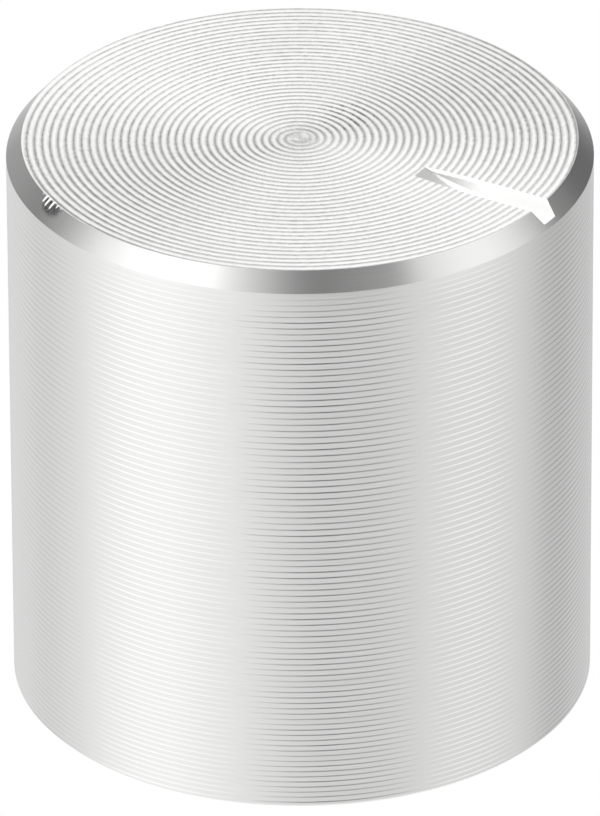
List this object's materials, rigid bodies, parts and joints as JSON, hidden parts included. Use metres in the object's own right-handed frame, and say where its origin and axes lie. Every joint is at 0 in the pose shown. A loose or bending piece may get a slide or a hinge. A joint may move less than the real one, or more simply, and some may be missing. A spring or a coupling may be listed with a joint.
{
  "type": "control knob",
  "caption": "Turned aluminium control knob with a ringed face and a pointer slot, held on a round shaft by a set screw.",
  "frame": {"origin": "centre of the base, on the turning axis", "axes": "+Z along the turning axis up to the ringed face, +X along the pointer slot, -X through the set screw"},
  "size_m": [0.017, 0.017, 0.0175],
  "materials": {
    "turned_aluminium": "clear anodised over fine turning marks, with a bright-cut chamfer",
    "screw_steel": "black oxide, slightly oily"
  },
  "bodies": {
    "root": {"knob_body": "turned_aluminium", "set_screw": "screw_steel"}
  },
  "joints": []
}
